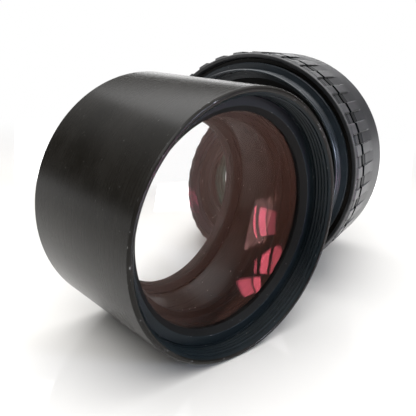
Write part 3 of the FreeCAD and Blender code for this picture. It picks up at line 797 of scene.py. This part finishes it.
def moulded_rubber(name, dark, light, rough, grain=0.02, sheen=0.15):
    """Black rubber: fine grain, cloudy bloom, and paler edges where hands have polished it.

    The paler edges are partly painted sheen. Where the edge mark is near -1 is painted shade: a
    near-black colour made metallic, so that it reflects almost nothing.
    """
    material, shader, w = finish(name, IOR=1.5, Sheen_Weight=sheen, Sheen_Roughness=0.4)
    place = w.node("ShaderNodeTexCoord", output=3)
    edge = w.node("ShaderNodeAttribute", {"attribute_name": "edge"}, output=2)
    bloom = place.noise(120.0, 4.0, 0.6)
    grainy = place.noise(2600.0, 3.0, 0.6)
    dust = place.noise(1500.0, 2.0, 0.6).above(0.70, 0.76)
    # Paler tone on the block tops and rims: partly polish from hands, partly painted sheen.
    tone = (bloom * 0.6 + grainy * 0.25 + edge * 0.5).above(0.3, 0.95).blend(dark, light)
    # Painted shade: where unshaded falls to 0 the colour is near black and the surface metallic, so it
    # reflects almost nothing.
    unshaded = edge.above(-0.8, -0.1)
    feed(shader,
         Base_Color=unshaded.blend((0.002, 0.003, 0.003), (dust * 0.2).blend(tone, (0.3, 0.3, 0.3))),
         Roughness=rough + (bloom - 0.5) * 0.15 + (grainy - 0.5) * 0.15 - edge * 0.12,
         Metallic=1.0 - unshaded,
         Normal=(grainy * 0.8 + place.noise(500.0) * 0.4).bump(grain))
    return material


grip_finish = moulded_rubber("grip_rubber_finish", (0.014, 0.015, 0.017), (0.11, 0.11, 0.112),
                             0.38, sheen=0.06)
make(turned("block_grip", eye_seat, rows, angles), "grip", "grip_rubber", [grip_finish], "grip_rubber")


# ---- eyecup carrier, keys and ring ---------------------------------------------------------------
# The carrier is a thin tube with a six-start coarse thread outside. Three brass keys in straight
# grooves stop it turning, so it rises when the grip turns, and a ring holds the rubber cup on it.

carrier_bore = carrier_r - 1.4
carrier_front = drum_end + 1.0
ring_place = height_of("eyecup_ring")
ring_half = 0.75
carrier_end = ring_place - ring_half - 0.03
drive_lead = 30.0
drive_starts = 6

around_carrier = even_angles(240)
radii, heights, marks = outline([
    (carrier_bore, carrier_front, round_edge),
    (carrier_r, carrier_front, round_edge),
    (carrier_r, carrier_end, round_edge),
    (carrier_bore, carrier_end, round_edge),
])
outside = np.linspace(carrier_front + 0.5, 24.0, 50)
phase = drive_starts * (around_carrier[None, :] / (2 * math.pi) - outside[:, None] / drive_lead)
spiral = np.clip(3.0 * np.abs(phase % 1 - 0.5) - 0.4, 0, 1)
after = len(radii) // 2
grids = [np.repeat(v[:, None], len(around_carrier), 1) for v in (radii, heights, marks)]
middle = (carrier_r - 0.25 * (1 - spiral), outside[:, None] + 0 * spiral, 0 * spiral)
rows = [np.concatenate([g[:after], m, g[after:]]) for g, m in zip(grids, middle)]
make(turned("rising_carrier", eye_seat, rows, around_carrier),
     "eyecup", "black_anodised", [anodised], "eyecup_carrier")
dress("guide_keys", cut_metal("turned_brass", (0.55, 0.38, 0.14), (0.75, 0.56, 0.26), 0.28, 1.0, 0.004))

cup_ring_r = carrier_r + 0.9
make(turned("cup_ring", eye_seat,
            ring_outline(cup_ring_r, cup_ring_r - 5.4, ring_place - ring_half, ring_place + ring_half,
                         0.12, back_bevel=0.5)),
     "eyecup", "black_anodised", [anodised], "eyecup_ring")


# ---- rubber eyecup -------------------------------------------------------------------------------
# Soft cup moulded in one piece. It grips the carrier with a ribbed skirt, hooks over the ring and
# ends in a thin rolled lip that the observer's eye socket rests on.

cup_wall = 1.3
hug_r = carrier_r + 0.02
side_r = cup_ring_r + 0.02
ring_bottom, ring_top = ring_place - ring_half, ring_place + ring_half
lip_top = ring_top + 4.4
skirt_start = 24.5

skirt = outline([
    (hug_r, skirt_start, round_edge),
    (hug_r + cup_wall, skirt_start, 0.4),
    (side_r + cup_wall, ring_bottom, 1.2),
    (side_r + cup_wall, ring_top, 0.6),
    (side_r + 0.9, lip_top - 1.0, 0.8),
    (side_r + 0.8, lip_top, 0.45),
    (side_r, lip_top - 0.1, 0.4),
    (side_r - 0.2, lip_top - 1.3, 0.8),
    (side_r - cup_wall, ring_top + 0.03, 0.15),
    (side_r, ring_top + 0.03, 0.02),
    (side_r, carrier_end, round_edge),
    (hug_r, carrier_end, round_edge),
], steps=8)
cup_finish = moulded_rubber("eyecup_rubber_finish", (0.016, 0.016, 0.0165), (0.034, 0.034, 0.035),
                            0.6, 0.015, 0.25)
make(turned("soft_eyecup", eye_seat, skirt), "eyecup", "cup_rubber", [cup_finish], "eyecup_rubber")


# ---- table ---------------------------------------------------------------------------------------
# Pale, slightly glossy table top that runs out into an even white surround. Painted window light
# glows from it in bright pink strips, in front of the lens and to the right.

span = 3.0
table_z = tube_low.z
mesh = bpy.data.meshes.new("table")
mesh.from_pydata([(-span, -span, table_z), (span, -span, table_z), (span, span, table_z),
                  (-span, span, table_z)], [], [(0, 1, 2, 3)])
table = bpy.data.objects.new("table", mesh)
bpy.context.scene.collection.objects.link(table)


def band(wire, low, high, soft):
    """1 where the wire lies between low and high, with soft edges of the given width."""
    return wire.above(low - soft, low + soft) * (1.0 - wire.above(high - soft, high + soft))


def strips(across, pieces):
    """Sum of bands across the wire. Each piece is its low side, high side, softness and strength."""
    return sum(band(across, *sides) * strength for *sides, strength in pieces)


def glow(surface, mask, colour):
    """The surface, and where the mask is 1 an even light of this colour instead."""
    light = surface.node("ShaderNodeEmission", None, {"Color": (*colour, 1), "Strength": 1.0})
    return surface.node("ShaderNodeMixShader", None, {0: mask, 1: surface, 2: light})


pale, shader, w = finish("pale_table", IOR=1.5)
place = w.node("ShaderNodeTexCoord", output=3)
mottle = place.noise(25.0, 3.0)
feed(shader, Base_Color=mottle.blend((0.84, 0.825, 0.80), (0.87, 0.856, 0.832)),
     Roughness=0.03 + mottle * 0.02)
distance = w.node("ShaderNodeVectorMath", {"operation": "LENGTH"}, {0: place}, output=1)
surface = glow(Wire(w.tree, shader.outputs[0]), distance.above(0.13, 0.30), (1.0, 1.0, 1.0))

# Across and along the strips: straight lines near the lens, and a fan of bearings farther out.
x, y = place.part(0), place.part(1)
bearing = w.math("ARCTAN2", x, y) * (180 / math.pi)
nearness = w.math("DIVIDE", 1.0, distance)
near_across = 149.3 - x * 4130.0 - y * 806.0
near_along = x * 3980.0 - y * 997.0 - 279.6
far_across = bearing * 4.304 + nearness * 2.435 - 669.0
far_along = 518.7 - bearing * 2.938 - nearness * 7.623
near_painted_light = strips(near_across, [(0.2, 1.8, 0.4, 1.0), (5.0, 11.0, 0.8, 1.0), (12.5, 21.0, 1.5, 0.3)])
near_painted_light = near_painted_light * band(near_along, 5.0, 30.0, 1.5)
middle_painted_light = strips(far_across, [(0.0, 2.5, 0.6, 0.5), (6.0, 13.0, 1.0, 1.0), (16.0, 24.0, 1.0, 0.6)])
middle_painted_light = middle_painted_light * band(far_along, 5.0, 25.0, 1.5) * band(nearness, 0.0, 7.5, 0.2)
last_painted_light = strips(far_across, [(-14.0, -3.0, 2.0, 0.7), (-1.0, 6.0, 1.0, 1.0)])
last_painted_light = last_painted_light * band(far_along, 29.0, 54.0, 2.0)
# Painted window light: where these masks are 1 the table glows pink, in strips shaped like window panes.
surface = glow(surface, near_painted_light, (20.0, 10.0, 18.0))
surface = glow(surface, middle_painted_light + last_painted_light, (19.0, 8.0, 15.0))
w.tree.links.new(surface.socket, w.tree.nodes["Material Output"].inputs[0])
mesh.materials.append(pale)


# ---- light ---------------------------------------------------------------------------------------
# A white room with a dark band low on its walls, wide soft lamps over the back right and the front
# left, a small window at the front right, and a low strip behind.

world = bpy.data.worlds.new("studio")
bpy.context.scene.world = world
world.use_nodes = True
world.node_tree.nodes.clear()
w = Wire(world.node_tree)
height = w.node("ShaderNodeTexCoord", output=0).part(2)
room = w.node("ShaderNodeValToRGB", {"stops": [
    (0.0, (0.5, 0.5, 0.5)), (0.03, (0.035, 0.032, 0.027)), (0.34, (0.05, 0.047, 0.04)),
    (0.66, (0.9, 0.9, 0.9)), (1.0, (1.5, 1.5, 1.5))]}, {0: height})
straight = w.math("MAXIMUM", w.node("ShaderNodeLightPath"), w.node("ShaderNodeLightPath", output=6))
colour = straight.blend(room, (1.0, 1.0, 1.0))
backdrop = w.node("ShaderNodeBackground", None, {"Color": colour, "Strength": 1.0})
out = world.node_tree.nodes.new("ShaderNodeOutputWorld")
world.node_tree.links.new(backdrop.socket, out.inputs[0])


def softbox(name, place, aim, width, height, radiance, colour=(1, 1, 1)):
    """Rectangular lamp at a place, pointing at another; its power is radiance * pi * area."""
    lamp = bpy.data.lights.new(name, "AREA")
    lamp.shape, lamp.size, lamp.size_y, lamp.color = "RECTANGLE", width, height, colour
    lamp.energy = radiance * math.pi * width * height
    light = bpy.data.objects.new(name, lamp)
    light.location = place
    light.rotation_euler = (Vector(aim) - Vector(place)).to_track_quat("-Z", "Y").to_euler()
    light.visible_camera = False
    light.visible_transmission = False
    bpy.context.scene.collection.objects.link(light)


softbox("top_lamp", (0.25, 0.30, 0.90), (0, 0, 0), 1.2, 1.2, 1.7)
softbox("fill_lamp", (-0.6, -0.5, 1.1), (0, 0, 0), 0.8, 0.8, 3.2)
softbox("window_lamp", (0.62, -1.22, 0.30), (0, 0, 0), 0.16, 0.2, 65.0, (0.85, 0.95, 1.2))
softbox("back_strip", (1.01, 1.08, 0.24), (0, 0, 0), 1.2, 0.2, 3.0)


# ---- camera --------------------------------------------------------------------------------------
# It stands a hand's width in front and to the left, a little above the barrel, and leans slightly.

eye = Vector((-65.81, -75.98, 31.07)) * MM
yaw, pitch, roll = (math.radians(angle) for angle in (42.763, 16.955, 3.448))
forward = Vector((math.sin(yaw) * math.cos(pitch), math.cos(yaw) * math.cos(pitch), -math.sin(pitch)))
level = Vector((math.cos(yaw), -math.sin(yaw), 0))
above = level.cross(forward)
right = level * math.cos(roll) + above * math.sin(roll)
camera_data = bpy.data.cameras.new("camera")
camera_data.lens = 45.93
camera_data.sensor_width = 36.0
camera_data.clip_start = 0.005
camera = bpy.data.objects.new("camera", camera_data)
camera.matrix_world = Matrix((
    (*right, 0), (*right.cross(forward), 0), (*-forward, 0), (*eye, 1))).transposed()
bpy.context.scene.collection.objects.link(camera)
bpy.context.scene.camera = camera
bpy.context.scene.view_settings.view_transform = "Standard"
